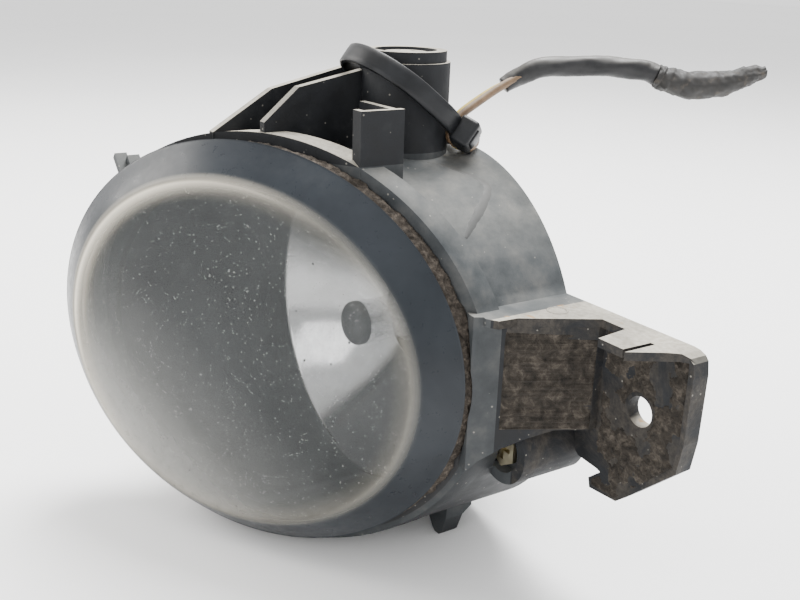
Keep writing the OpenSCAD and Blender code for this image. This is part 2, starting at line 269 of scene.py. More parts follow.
def bump(nt, b, height, strength=0.3, distance=0.0003):
    n = nt.nodes.new("ShaderNodeBump")
    n.inputs["Strength"].default_value = strength
    n.inputs["Distance"].default_value = distance
    nt.links.new(height, n.inputs["Height"])
    nt.links.new(n.outputs[0], b.inputs["Normal"])


def spec(b, value):
    b.inputs["Specular IOR Level"].default_value = value  # a constant


def normal_z(nt):
    g = nt.nodes.new("ShaderNodeNewGeometry")
    s = nt.nodes.new("ShaderNodeSeparateXYZ")
    nt.links.new(g.outputs["Normal"], s.inputs[0])
    return s.outputs[2], s.outputs[0]


def xyz(nt):
    s = nt.nodes.new("ShaderNodeSeparateXYZ")
    nt.links.new(coords(nt), s.inputs[0])
    return s.outputs


def plastic_dusty():
    """Sun-bleached moulded plastic: bleached and dusty on top, darker on the sides, mud low on the bracket, and
    painted shade inside the barrel.
    """
    mt, nt, b = mat("housing_plastic")
    nz, nx = normal_z(nt)
    X, Y, Z = xyz(nt)
    fine = noise_tex(nt, 900, 8, 0.65)
    mid = noise_tex(nt, 160, 8, 0.6)
    big = noise_tex(nt, 42, 5, 0.55, distortion=0.6)
    # the base plastic, blue-black to grey with handling
    base = ramp(nt, mid, [(0.3, (0.005, 0.0055, 0.0065)), (0.55, (0.011, 0.012, 0.014)), (0.8, (0.026, 0.027, 0.028))])
    # bleached film on the barrel, which lies left of the bracket arm and below the tower
    up = math_node(nt, "MULTIPLY_ADD", nz, 0.55)
    nt.nodes[-1].inputs[2].default_value = 0.42
    film = math_node(nt, "MULTIPLY", up, ramp(nt, big, [(0.25, 0.72), (0.6, 1.0)]), True)
    below_top = math_node(nt, "LESS_THAN", Z, (44.6 - HOLE[2]) / 1000)
    left = math_node(nt, "LESS_THAN", X, (50.5 - HOLE[0]) / 1000)
    film = math_node(nt, "MULTIPLY", film, below_top)
    film = math_node(nt, "MULTIPLY", film, left)
    film_col = ramp(nt, mid, [(0.28, (0.040, 0.047, 0.051)), (0.5, (0.074, 0.081, 0.084)), (0.75, (0.135, 0.136, 0.130))])
    col = mix_color(nt, film, base, film_col)
    # settled beige dust on faces that look up
    dust = math_node(nt, "MULTIPLY", ramp(nt, nz, [(0.55, 0.0), (0.93, 1.0)]), ramp(nt, big, [(0.3, 0.55), (0.55, 0.95)]))
    barrel_only = math_node(nt, "MULTIPLY", left, below_top)
    dust = math_node(nt, "MULTIPLY", dust, math_node(nt, "SUBTRACT", 1.0, math_node(nt, "MULTIPLY", barrel_only, ramp(nt, big, [(0.35, 0.97), (0.7, 0.75)]))))
    col = mix_color(nt, dust, col, ramp(nt, fine, [(0.35, (0.30, 0.275, 0.225)), (0.7, (0.46, 0.43, 0.365))]))
    # rusty spots on the bracket's top
    spots = math_node(nt, "MULTIPLY", ramp(nt, noise_tex(nt, 210, 3, 0.5), [(0.66, 0.0), (0.70, 0.8)]), ramp(nt, nz, [(0.8, 0.0), (0.95, 1.0)]))
    spots = math_node(nt, "MULTIPLY", spots, math_node(nt, "GREATER_THAN", X, (50 - HOLE[0]) / 1000))
    col = mix_color(nt, spots, col, (0.30, 0.175, 0.075))
    # brown mud in the bracket's pocket
    right = math_node(nt, "GREATER_THAN", X, (51 - HOLE[0]) / 1000)
    mud = math_node(nt, "MULTIPLY", right, ramp(nt, noise_tex(nt, 75, 9, 0.68, distortion=0.8), [(0.42, 0.0), (0.56, 0.85)]))
    mud = math_node(nt, "MULTIPLY", mud, ramp(nt, nz, [(0.4, 1.0), (0.7, 0.0)]))
    col = mix_color(nt, mud, col, ramp(nt, fine, [(0.3, (0.012, 0.011, 0.0095)), (0.65, (0.048, 0.041, 0.034))]))
    # painted shade: the inside of the barrel is coloured dark, without dust or bleaching, for the shade inside the
    # housing
    dx = math_node(nt, "SUBTRACT", X, (2.5 - HOLE[0]) / 1000)
    dz = math_node(nt, "SUBTRACT", Z, (-1.8 - HOLE[2]) / 1000)
    rr = math_node(nt, "SQRT", math_node(nt, "ADD", math_node(nt, "MULTIPLY", dx, dx), math_node(nt, "MULTIPLY", dz, dz)))
    inside = math_node(nt, "MULTIPLY", math_node(nt, "LESS_THAN", rr, 0.0451), math_node(nt, "LESS_THAN", Y, (52 - HOLE[1]) / 1000))
    col = mix_color(nt, inside, col, ramp(nt, mid, [(0.3, (0.012, 0.012, 0.013)), (0.7, (0.030, 0.030, 0.031))]))
    # pale specks of grit
    vor = nt.nodes.new("ShaderNodeTexVoronoi")
    vor.inputs["Scale"].default_value = 520
    vor.inputs["Randomness"].default_value = 1
    nt.links.new(coords(nt), vor.inputs["Vector"])
    speck = math_node(nt, "MULTIPLY", ramp(nt, vor.outputs["Distance"], [(0.0, 1.0), (0.10, 1.0), (0.13, 0.0)]),
                      ramp(nt, noise_tex(nt, 300, 2), [(0.52, 0.0), (0.56, 1.0)]))
    col = mix_color(nt, math_node(nt, "MULTIPLY", speck, 0.4), col, (0.34, 0.32, 0.28))
    nt.links.new(col, b.inputs["Base Color"])
    nt.links.new(ramp(nt, mid, [(0.3, 0.52), (0.7, 0.78)]), b.inputs["Roughness"])
    spec(b, 0.22)
    h = math_node(nt, "MULTIPLY_ADD", mud, 1.6)
    nt.links.new(fine, nt.nodes[-1].inputs[2])
    bump(nt, b, h, 0.28, 0.00022)
    return mt


def plastic(name, dark, light, rough=(0.35, 0.55), scale=300, spec_level=0.4, strength=0.12, dust=0.25):
    mt, nt, b = mat(name)
    n = noise_tex(nt, scale, 7, 0.6)
    nz, nx = normal_z(nt)
    col = ramp(nt, n, [(0.3, dark), (0.7, light)])
    d = math_node(nt, "MULTIPLY", ramp(nt, nz, [(0.4, 0.0), (0.95, dust)]), ramp(nt, noise_tex(nt, 60, 5), [(0.3, 0.5), (0.6, 1.0)]))
    col = mix_color(nt, d, col, (0.42, 0.39, 0.33))
    nt.links.new(col, b.inputs["Base Color"])
    nt.links.new(ramp(nt, n, [(0.3, rough[0]), (0.7, rough[1])]), b.inputs["Roughness"])
    spec(b, spec_level)
    bump(nt, b, noise_tex(nt, scale * 4, 4), strength, 0.0001)
    return mt


def metal(name, dark, light, rough=(0.2, 0.4), scale=200):
    mt, nt, b = mat(name)
    n = noise_tex(nt, scale, 6)
    nt.links.new(ramp(nt, n, [(0.3, dark), (0.7, light)]), b.inputs["Base Color"])
    b.inputs["Metallic"].default_value = 1.0
    nt.links.new(ramp(nt, n, [(0.3, rough[0]), (0.7, rough[1])]), b.inputs["Roughness"])
    bump(nt, b, noise_tex(nt, scale * 6, 3), 0.05, 0.00005)
    return mt


def mirror_material():
    """Vacuum-metallised bowl with a thin dust film and a few black specks."""
    mt, nt, b = mat("mirror_coating")
    dust = ramp(nt, noise_tex(nt, 120, 8, 0.6), [(0.35, 0.0), (0.75, 0.35)])
    vor = nt.nodes.new("ShaderNodeTexVoronoi")
    vor.inputs["Scale"].default_value = 240
    nt.links.new(coords(nt), vor.inputs["Vector"])
    speck = math_node(nt, "MULTIPLY", ramp(nt, vor.outputs["Distance"], [(0.0, 1.0), (0.07, 1.0), (0.1, 0.0)]),
                      ramp(nt, noise_tex(nt, 170, 2), [(0.5, 0.0), (0.55, 1.0)]))
    col = mix_color(nt, dust, (0.76, 0.765, 0.77), (0.50, 0.49, 0.46))
    col = mix_color(nt, speck, col, (0.04, 0.04, 0.04))
    nt.links.new(col, b.inputs["Base Color"])
    nt.links.new(math_node(nt, "SUBTRACT", 0.93, math_node(nt, "MULTIPLY", speck, 0.9)), b.inputs["Metallic"])
    nt.links.new(ramp(nt, noise_tex(nt, 60, 5), [(0.3, 0.07), (0.7, 0.2)]), b.inputs["Roughness"])
    bump(nt, b, noise_tex(nt, 90, 3), 0.06, 0.0004)
    return mt


def lens_material():
    """Hazed clear lens: a film of haze and grit over the face, a cream line where the face turns (a painted highlight
    over a thin pale haze, faded towards the lower right where less light falls), and a dark bonded rim.
    """
    mt, nt, b = mat("lens_glass")
    co = coords(nt)
    # lens-plane coordinates about the lens centre
    c = L(0, 0, 0)
    sub = nt.nodes.new("ShaderNodeVectorMath"); sub.operation = "SUBTRACT"
    nt.links.new(co, sub.inputs[0]); sub.inputs[1].default_value = c
    dot = nt.nodes.new("ShaderNodeVectorMath"); dot.operation = "DOT_PRODUCT"
    nt.links.new(sub.outputs[0], dot.inputs[0]); dot.inputs[1].default_value = UX
    sep = nt.nodes.new("ShaderNodeSeparateXYZ"); nt.links.new(sub.outputs[0], sep.inputs[0])
    u = math_node(nt, "DIVIDE", dot.outputs["Value"], 0.05543)
    w = math_node(nt, "DIVIDE", sep.outputs[2], 0.048)
    r2 = math_node(nt, "ADD", math_node(nt, "MULTIPLY", u, u), math_node(nt, "MULTIPLY", w, w))
    r = math_node(nt, "SQRT", r2)
    cloud = noise_tex(nt, 38, 6, 0.6, distortion=0.5)
    mottle = noise_tex(nt, 420, 6, 0.7)
    vor = nt.nodes.new("ShaderNodeTexVoronoi")
    vor.inputs["Scale"].default_value = 1150
    nt.links.new(co, vor.inputs["Vector"])
    speck = math_node(nt, "MULTIPLY", ramp(nt, vor.outputs["Distance"], [(0.0, 1.0), (0.14, 1.0), (0.2, 0.0)]),
                      ramp(nt, noise_tex(nt, 500, 2), [(0.48, 0.0), (0.56, 1.0)]))
    # haze: thick low and left, thin in the middle
    low = math_node(nt, "ADD", math_node(nt, "MULTIPLY", u, -0.55), math_node(nt, "MULTIPLY", w, -0.62))
    low = ramp(nt, low, [(0.0, 0.0), (0.30, 0.16), (0.75, 0.88)])
    film = math_node(nt, "ADD", math_node(nt, "MULTIPLY", low, 0.66), 0.20)
    film = math_node(nt, "ADD", film, math_node(nt, "MULTIPLY", math_node(nt, "SUBTRACT", cloud, 0.5), 0.22))
    film = math_node(nt, "ADD", film, math_node(nt, "MULTIPLY", math_node(nt, "SUBTRACT", mottle, 0.5), 0.24), True)
    film = math_node(nt, "MAXIMUM", film, math_node(nt, "MULTIPLY", speck, 0.62))
    # painted highlight: a cream line along the inner edge of the rolled rim, partly a thin pale haze, dimmed towards
    # the lower right by side
    ring = ramp(nt, r, [(0.0, 0.0), (0.745, 0.0), (0.800, 0.55), (0.830, 1.0), (0.846, 0.40), (0.868, 0.0)])
    side = ramp(nt, math_node(nt, "ADD", math_node(nt, "MULTIPLY", u, -0.5), math_node(nt, "MULTIPLY", w, 0.35)), [(0.0, 0.30), (0.45, 1.0)])
    ring = math_node(nt, "MULTIPLY", ring, side)
    rim = ramp(nt, r, [(0.0, 0.0), (0.805, 0.0), (0.875, 1.0)])
    alpha = math_node(nt, "MAXIMUM", film, rim)
    alpha = math_node(nt, "MAXIMUM", alpha, math_node(nt, "MULTIPLY", ring, 0.92))
    face = mix_color(nt, low, (0.105, 0.112, 0.112), (0.47, 0.46, 0.43))
    face = mix_color(nt, math_node(nt, "MULTIPLY", speck, 0.7), face, (0.42, 0.42, 0.40))
    rimc = ramp(nt, cloud, [(0.3, (0.007, 0.009, 0.012)), (0.7, (0.020, 0.024, 0.029))])
    col = mix_color(nt, rim, face, rimc)
    # the painted highlight's cream colour, laid over the face and the rim
    col = mix_color(nt, math_node(nt, "MULTIPLY", ring, 0.95), col, (0.74, 0.68, 0.56))
    nt.links.new(col, b.inputs["Base Color"])
    nt.links.new(alpha, b.inputs["Alpha"])
    nt.links.new(ramp(nt, mottle, [(0.3, 0.24), (0.7, 0.40)]), b.inputs["Roughness"])
    spec(b, 0.20)
    bump(nt, b, mottle, 0.03, 0.0001)
    return mt


def dirt(name, dark, light, scale=500, strength=0.9):
    mt, nt, b = mat(name)
    n = noise_tex(nt, scale, 9, 0.7, distortion=0.4)
    nt.links.new(ramp(nt, n, [(0.3, dark), (0.52, light), (0.75, tuple(min(1, x * 3.0) for x in light))]), b.inputs["Base Color"])
    nt.links.new(ramp(nt, n, [(0.3, 0.85), (0.7, 0.98)]), b.inputs["Roughness"])
    spec(b, 0.15)
    bump(nt, b, noise_tex(nt, scale * 2.2, 8, 0.7), strength, 0.0005)
    return mt


def tape_material():
    mt, nt, b = mat("cloth_tape")
    n = noise_tex(nt, 420, 8, 0.65)
    w = nt.nodes.new("ShaderNodeTexWave")
    w.inputs["Scale"].default_value = 190
    w.inputs["Distortion"].default_value = 3.5
    w.bands_direction = "DIAGONAL"
    nt.links.new(coords(nt), w.inputs["Vector"])
    col = ramp(nt, n, [(0.3, (0.006, 0.006, 0.006)), (0.55, (0.017, 0.0155, 0.014)), (0.78, (0.09, 0.075, 0.06))])
    nt.links.new(col, b.inputs["Base Color"])
    nt.links.new(ramp(nt, n, [(0.3, 0.5), (0.7, 0.85)]), b.inputs["Roughness"])
    bump(nt, b, w.outputs["Fac"], 0.35, 0.0003)
    return mt


def bulb_glass():
    mt, nt, b = mat("bulb_glass")
    n = noise_tex(nt, 300, 4)
    nt.links.new(ramp(nt, n, [(0.3, (0.8, 0.83, 0.85)), (0.7, (0.92, 0.93, 0.94))]), b.inputs["Base Color"])
    nt.links.new(ramp(nt, n, [(0.3, 0.22), (0.7, 0.32)]), b.inputs["Alpha"])
    nt.links.new(ramp(nt, n, [(0.3, 0.03), (0.7, 0.08)]), b.inputs["Roughness"])
    return mt


HOUSING = plastic_dusty()
BLACK = plastic("black_plastic", (0.008, 0.008, 0.009), (0.022, 0.022, 0.023))
NYLON = plastic("nylon_black", (0.0045, 0.005, 0.006), (0.011, 0.012, 0.014), (0.32, 0.48), 220, 0.25, 0.08, 0.03)
WHITE = plastic("white_plastic", (0.62, 0.60, 0.54), (0.76, 0.74, 0.68))
MIRROR = mirror_material()
LENS = lens_material()
SEAL_DIRT = dirt("sealant", (0.008, 0.007, 0.006), (0.055, 0.046, 0.038), 620, 1.0)
MUD = dirt("dried_mud", (0.007, 0.0065, 0.006), (0.034, 0.029, 0.024), 420, 0.9)
STEEL = metal("steel", (0.45, 0.45, 0.46), (0.62, 0.62, 0.63))
PLATED = metal("plated_steel", (0.50, 0.44, 0.28), (0.72, 0.66, 0.48), (0.25, 0.45))
BRASS = metal("brass_contact", (0.62, 0.44, 0.18), (0.80, 0.62, 0.32))
TUNGSTEN = metal("tungsten", (0.22, 0.21, 0.20), (0.40, 0.39, 0.38), (0.4, 0.6))
RUBBER = plastic("rubber", (0.012, 0.012, 0.012), (0.030, 0.030, 0.030), (0.6, 0.8))
ORANGE = plastic("seal_rubber", (0.40, 0.15, 0.04), (0.56, 0.24, 0.07), (0.5, 0.7))
MEMBRANE = plastic("membrane", (0.66, 0.66, 0.62), (0.8, 0.8, 0.76), (0.8, 0.95), 900)
YELLOW = plastic("wire_yellow", (0.36, 0.25, 0.02), (0.60, 0.45, 0.07), (0.4, 0.6), 350)
BROWN = plastic("wire_brown", (0.10, 0.060, 0.032), (0.22, 0.145, 0.085), (0.4, 0.6), 350)
SLEEVE = plastic("sleeve_pvc", (0.007, 0.007, 0.008), (0.026, 0.026, 0.027), (0.35, 0.6), 260, 0.3, 0.2, 0.16)
TAPE = tape_material()
GLASS = bulb_glass()
SHADE = plastic("black_paint", (0.022, 0.022, 0.024), (0.06, 0.06, 0.064), (0.5, 0.7), 500)


def paint(ob, material):
    ob.data.materials.clear()
    ob.data.materials.append(material)
    return ob


CAD_MATS = {"rear_housing": (HOUSING, "housing_plastic"), "vent_cap": (HOUSING, "housing_plastic"), "vent_membrane": (MEMBRANE, "membrane"),
            "pivot_brackets": (BLACK, "black_plastic"), "adjuster_bush": (WHITE, "white_plastic"), "pivot_pins": (STEEL, "steel"),
            "adjuster_screw": (PLATED, "plated_steel"), "adjuster_oring": (RUBBER, "rubber"), "adjuster_nut": (WHITE, "white_plastic"),
            "bulb_filament": (TUNGSTEN, "tungsten"), "bulb_leads": (STEEL, "steel"), "bulb_collar": (STEEL, "steel"),
            "bulb_base": (BLACK, "black_plastic"), "bulb_oring": (ORANGE, "seal_rubber"), "bulb_terminals": (BRASS, "brass_contact"),
            "harness_plug": (BLACK, "black_plastic"), "plug_seal": (ORANGE, "seal_rubber"), "plug_latch": (BLACK, "black_plastic")}
for name, (material, slot_name) in CAD_MATS.items():
    ob = NODES[name]
    if ob.data.materials:
        for i in range(len(ob.data.materials)):
            ob.data.materials[i] = material
    else:
        ob.data.materials.append(material)
for name, wd in (("rear_housing", 0.00045), ("bulb_base", 0.0005), ("harness_plug", 0.0005), ("plug_latch", 0.0003),
                 ("plug_seal", 0.0003), ("vent_cap", 0.0003), ("adjuster_nut", 0.0003)):
    bevel(NODES[name], wd)


# ---------------------------------------------------------------- lens
def lens_piece():
    """A domed shell: face, rolled edge and skirt outside, and the same offset inside."""
    seg, crown, Rc, wall = 192, 11.34, 255.0, 2.6
    A, B = 48 / math.cos(SWEEP), 48.0

    def face_depth(x, z):
        return -(crown - (Rc - math.sqrt(max(Rc * Rc - x * x - z * z, 0))))

    def pt(u, w, d):
        return L(*((UX * u) + Vector((0, 0, w)) + BACK * d))

    verts, faces = [], []
    loops = []

    def loop(scale, depth):
        start = len(verts)
        for j in range(seg):
            a = 2 * math.pi * j / seg
            u, w = A * scale * math.cos(a), B * scale * math.sin(a)
            verts.append(pt(u, w, depth(u, w)))
        loops.append(start)

    # outside face
    crest = 0.845
    for k in range(1, 27):
        s = k / 26 * crest
        loop(s, face_depth)
    # sloping rim, slightly rounded, from the face into the skirt
    for k in range(1, 25):
        q = k / 24
        s = crest + (0.999 - crest) * q

        def rolled(u, w, q=q, s=s):
            f = face_depth(u * crest / s, w * crest / s)
            return f * (1 - q) - 0.35 * q - 0.42 * math.sin(math.pi * q) ** 1.2 * (1 - 0.6 * q)
        loop(s, rolled)
    loop(1.0, lambda u, w: -0.35)
    loop(0.997, lambda u, w: -0.05)
    # rear edge of the skirt, then the inside
    inner = 1 - wall / 48
    loop(inner + 0.004, lambda u, w: -0.05)
    for k in range(0, 11):
        t = (1 - k / 10) * math.pi / 2
        s = inner * 0.90 + inner * 0.10 * math.sin(t)

        def inside(u, w, t=t, s=s):
            f = face_depth(u * inner * 0.90 / s, w * inner * 0.90 / s) + wall
            return f + (1 - math.cos(t)) * (-f - 1.4)
        loop(s, inside)
    for k in range(20, 0, -1):
        s = k / 21 * inner * 0.90
        loop(s, lambda u, w: face_depth(u, w) + wall)
    for a, b2 in zip(loops, loops[1:]):
        for j in range(seg):
            q = (j + 1) % seg
            faces.append((a + j, a + q, b2 + q, b2 + j))
    c0 = len(verts); verts.append(pt(0, 0, face_depth(0, 0)))
    c1 = len(verts); verts.append(pt(0, 0, face_depth(0, 0) + wall))
    for j in range(seg):
        q = (j + 1) % seg
        faces.append((c0, loops[0] + q, loops[0] + j))
        faces.append((c1, loops[-1] + j, loops[-1] + q))
    return new_object("lens_shell", verts, faces)


lens = paint(lens_piece(), LENS)
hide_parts("front_lens")
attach(lens, "lamp")


# ---------------------------------------------------------------- sealant bead with packed dirt
def bead_piece():
    seg, prof = 1100, 12
    verts, faces = [], []
    for j in range(seg):
        a = 2 * math.pi * j / seg
        ca, sa = math.cos(a), math.sin(a)
        for k in range(prof):
            t = k / (prof - 1)
            d = 0.04 + 3.5 * t
            nz = noise.fractal(Vector((ca * 22, sa * 22, t * 3.0)), 1.0, 2.0, 4)
            bulge = 0.35 * math.sin(math.pi * t)
            r = 47.15 + bulge * 0.3 + 0.55 * nz - (0.35 if k in (0, prof - 1) else 0)
            r = min(max(r, 46.3), 47.58)
            # parallel to the barrel: the ring is a circle about Y, cut by the swept plane
            x, z = r * ca, r * sa
            y = x * math.tan(SWEEP) + d / math.cos(SWEEP)
            verts.append(L(x, y, z))
        for rr, d in ((45.5, 3.55), (45.5, 0.04)):
            x, z = rr * ca, rr * sa
            verts.append(L(x, x * math.tan(SWEEP) + d / math.cos(SWEEP), z))
    n = prof + 2
    for j in range(seg):
        q = (j + 1) % seg
        for k in range(n):
            k2 = (k + 1) % n
            faces.append((j * n + k, j * n + k2, q * n + k2, q * n + k))
    return new_object("sealant_bead", verts, faces)


bead = paint(bead_piece(), SEAL_DIRT)
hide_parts("lens_sealant")
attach(bead, "lamp")


# ---------------------------------------------------------------- reflector
def box_part(lo, hi, name):
    xs, ys, zs = (lo[0], hi[0]), (lo[1], hi[1]), (lo[2], hi[2])
    v = [L(x, y, z) for x in xs for y in ys for z in zs]
    f = [(0, 1, 3, 2), (4, 6, 7, 5), (0, 4, 5, 1), (2, 3, 7, 6), (0, 2, 6, 4), (1, 5, 7, 3)]
    ob = new_object(name, v, f, smooth=False)
    b = ob.modifiers.new("b", "BEVEL"); b.width = 0.0004; b.segments = 3
    return ob


def reflector_piece():
    prof = []
    def by(r): return 49 - r * r / 62
    n = 44
    for i in range(n + 1):
        r = 14 + (37 - 14) * i / n
        prof.append((r, by(r)))
    prof.append((37.9, by(37) - 0.1)); prof.append((38.4, by(37) + 0.25)); prof.append((38.4, by(37) + 0.7))
    for i in range(n, -1, -1):
        r = 14 + (37 - 14) * i / n
        prof.append((r + 1.3, by(r) + 0.75))
    ob = revolve("reflector_bowl", 3, 2, prof, 160)
    parts = [ob]
    for s in (-1, 1):
        parts.append(box_part((3 + s * 28.4 - 2.3, 32, 21.6), (3 + s * 28.4 + 2.3, 36, 26.4), "ear"))
    parts.append(box_part((31.4, 32, -18.6), (37.8, 46.6, -12.6), "lug_a"))
    parts.append(box_part((33.5, 46, -18.6), (35.2, 50.2, -12.6), "lug_b"))
    parts.append(box_part((35.2, 48.95, -18.6), (37.8, 50.2, -12.6), "lug_c"))
    return parts


def join(parts, name):
    dg = bpy.context.evaluated_depsgraph_get()
    bm = bmesh.new()
    smooth = []
    for p in parts:
        e = p.evaluated_get(dg)
        me = e.to_mesh()
        me.transform(p.matrix_world)
        bm.from_mesh(me)
        e.to_mesh_clear()
    me = bpy.data.meshes.new(name)
    bm.to_mesh(me)
    bm.free()
    for p in parts:
        bpy.data.objects.remove(p, do_unlink=True)
    ob = bpy.data.objects.new(name, me)
    bpy.context.scene.collection.objects.link(ob)
    return ob


bowl = join(reflector_piece(), "reflector_shell")
paint(bowl, MIRROR)
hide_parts("reflector")
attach(bowl, "reflector_unit")

# ---------------------------------------------------------------- bulb
cap_prof = [(0.01, 24.75)] + [(5.4 * math.sin(t), 27.4 - 2.6 * math.cos(t)) for t in [math.pi / 2 * i / 10 for i in range(1, 11)]] + \
           [(5.4, 28.6), (5.2, 28.8), (0.01, 28.8)]
shade = paint(revolve("bulb_tip", 3, 2, cap_prof, 64), SHADE)
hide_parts("bulb_tip_shade")
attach(shade, "bulb_unit")
tube_prof = [(5.38, 28.8), (5.4, 40), (5.0, 42.5), (4.6, 44.5), (3.7, 44.5), (4.0, 42), (4.5, 40), (4.5, 28.8)]
capsule = paint(revolve("bulb_tube", 3, 2, tube_prof, 64), GLASS)
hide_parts("bulb_capsule")
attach(capsule, "bulb_unit")

# ---------------------------------------------------------------- cable tie
TIE_C = Vector((3.1, 38.9, 56.5))
TIE_M = Matrix.Rotation(math.radians(87), 3, "Z") @ Matrix.Rotation(math.radians(37.6), 3, "Y")


def tie_pt(v):
    return L(*(TIE_C + TIE_M @ Vector(v)))


def tie_piece():
    seg = 144
    prof = [(-2.15, 0.0), (-2.3, 0.2), (-2.3, 1.1), (-2.05, 1.35), (-0.9, 1.4), (0.9, 1.4), (2.05, 1.35), (2.3, 1.1), (2.3, 0.2), (2.15, 0.0)]
    verts, faces = [], []
    for j in range(seg):
        a = 2 * math.pi * (j + 0.5) / seg
        off = 2.7 if math.cos(a) > 0 else -2.7
        for h, t in prof:
            r = 12.6 + t
            verts.append(tie_pt((off + r * math.cos(a), r * math.sin(a), h)))
    n = len(prof)
    for j in range(seg):
        q = (j + 1) % seg
        for k in range(n):
            k2 = (k + 1) % n
            faces.append((j * n + k, q * n + k, q * n + k2, j * n + k2))
    parts = [new_object("tie_ring", verts, faces)]
    rz = Matrix.Rotation(math.radians(-50), 3, "Z")

    def local_box(lo, hi, name, w=0.0006):
        v = [tie_pt(Vector((2.7, 0, 0)) + rz @ Vector((x, y, z)))
             for x in (lo[0], hi[0]) for y in (lo[1], hi[1]) for z in (lo[2], hi[2])]
        f = [(0, 1, 3, 2), (4, 6, 7, 5), (0, 4, 5, 1), (2, 3, 7, 6), (0, 2, 6, 4), (1, 5, 7, 3)]
        ob = new_object(name, v, f, smooth=True)
        b = ob.modifiers.new("b", "BEVEL"); b.width = w; b.segments = 4
        return ob
    parts.append(local_box((13.3, -3, -3.4), (18.1, 3, 3.4), "head", 0.0009))
    parts.append(local_box((16, 2.5, -2.2), (17.3, 7.0, 2.2), "tail", 0.0003))
    parts.append(local_box((17.2, -1.8, -2.0), (18.5, 1.8, 2.0), "pawl", 0.0004))
    return join(parts, "tie_strap")


tie = paint(tie_piece(), NYLON)
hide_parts("cable_tie")
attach(tie, "lamp")

# ---------------------------------------------------------------- wires
yellow_pts = [(-36, 71, 4.6), (-41, 71, 4.6), (-44.6, 71, 4.6), (-48, 71, 8), (-48, 71, 13), (-46, 70, 19),
              (-42, 69, 25), (-36, 68, 31), (-29, 67, 36), (-21, 65, 41), (-13, 63, 44.6), (-5, 61, 46.8),
              (1.6, 58.4, 46.8), (7, 55.2, 45.9), (10.8, 51.8, 45.3), (12, 49, 45.5), (11.4, 47.4, 47.2), (11.1, 47.7, 49.8),
              (11.3, 49.2, 52.4), (12, 53, 55.2), (13.2, 58.4, 58.4), (15, 64, 60.8)]
brown_pts = [(-36, 71, -0.6), (-41, 71, -0.6), (-46, 71, -0.4), (-50.2, 71, 2.4), (-50.75, 71, 8), (-49, 70.4, 16),
             (-45, 69.6, 23), (-39.4, 69.4, 30), (-32, 68.8, 35.6), (-23.4, 67, 41), (-14, 65.4, 45), (-5, 63.6, 47.6),
             (2.4, 60.6, 47.2), (8.4, 57, 45.7), (12.2, 53, 45), (13.5, 49.6, 45.2), (12.7, 46.2, 47.4), (12.6, 46.6, 50),
             (12.8, 48.8, 52.6), (13.4, 53, 55.4), (14.3, 58.6, 58.8), (16, 64, 61.8)]
for pts, nm, material, slot_name in ((yellow_pts, "yellow", YELLOW, "wire_yellow"), (brown_pts, "brown", BROWN, "wire_brown")):
    w = tube("insulated_" + nm, catmull([L(*p) for p in pts], 6), 0.00094, 14)
    paint(w, material)
    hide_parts("wire_" + nm)
    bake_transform(w)

# ---------------------------------------------------------------- harness stub
paint(sleeve, SLEEVE)
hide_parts("harness_sleeve")
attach(sleeve, "lamp")


def tape_piece():
    path = catmull([L(*p) for p in tape_pts], 16)
    radii = [0.0029, 0.0035, 0.0038, 0.0035, 0.0027, 0.0014]

    def rad(i, s, a):
        f = s * (len(radii) - 1)
        k = min(int(f), len(radii) - 2)
        r = radii[k] + (radii[k + 1] - radii[k]) * (f - k)
        wrap = ((s * 9 + a / (2 * math.pi)) % 1.0)
        r += 0.00022 * wrap - 0.00011
        r += 0.00042 * noise.fractal(Vector((s * 9, math.cos(a) * 1.4, math.sin(a) * 1.4)), 1.0, 2.0, 4)
        flat = 1 - 0.16 * abs(math.sin(a))
        return min(r * flat, radii[k] + (radii[k + 1] - radii[k]) * (f - k) + 0.00012)
    body = tube("tape_body", path, rad, 40)
    parts = [body]
    rnd = random.Random(7)
    end = path[-4]
    d = (path[-1] - path[-6]).normalized()
    for i in range(7):
        side = Vector((rnd.uniform(-1, 1), rnd.uniform(-0.3, 1), rnd.uniform(-0.8, 1.0))) * 0.0012
        a0 = end - d * 0.003 + side * 0.5
        a3 = end + d * rnd.uniform(-0.0004, 0.0008) + side * 1.05
        mid = (a0 + a3) / 2 + Vector((rnd.uniform(-1, 1), rnd.uniform(-1, 1), rnd.uniform(-1, 1))) * 0.0005
        pth = catmull([a0, mid, a3], 6)
        wdt = rnd.uniform(0.0003, 0.0006)
        parts.append(tube(f"strand{i}", pth, lambda k, s, a, wdt=wdt: wdt * (1 - 0.8 * s), 8))
    return join(parts, "tape_wrap")


tape = paint(tape_piece(), TAPE)
for p in tape.data.polygons:
    p.use_smooth = True
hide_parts("harness_tape")
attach(tape, "lamp")


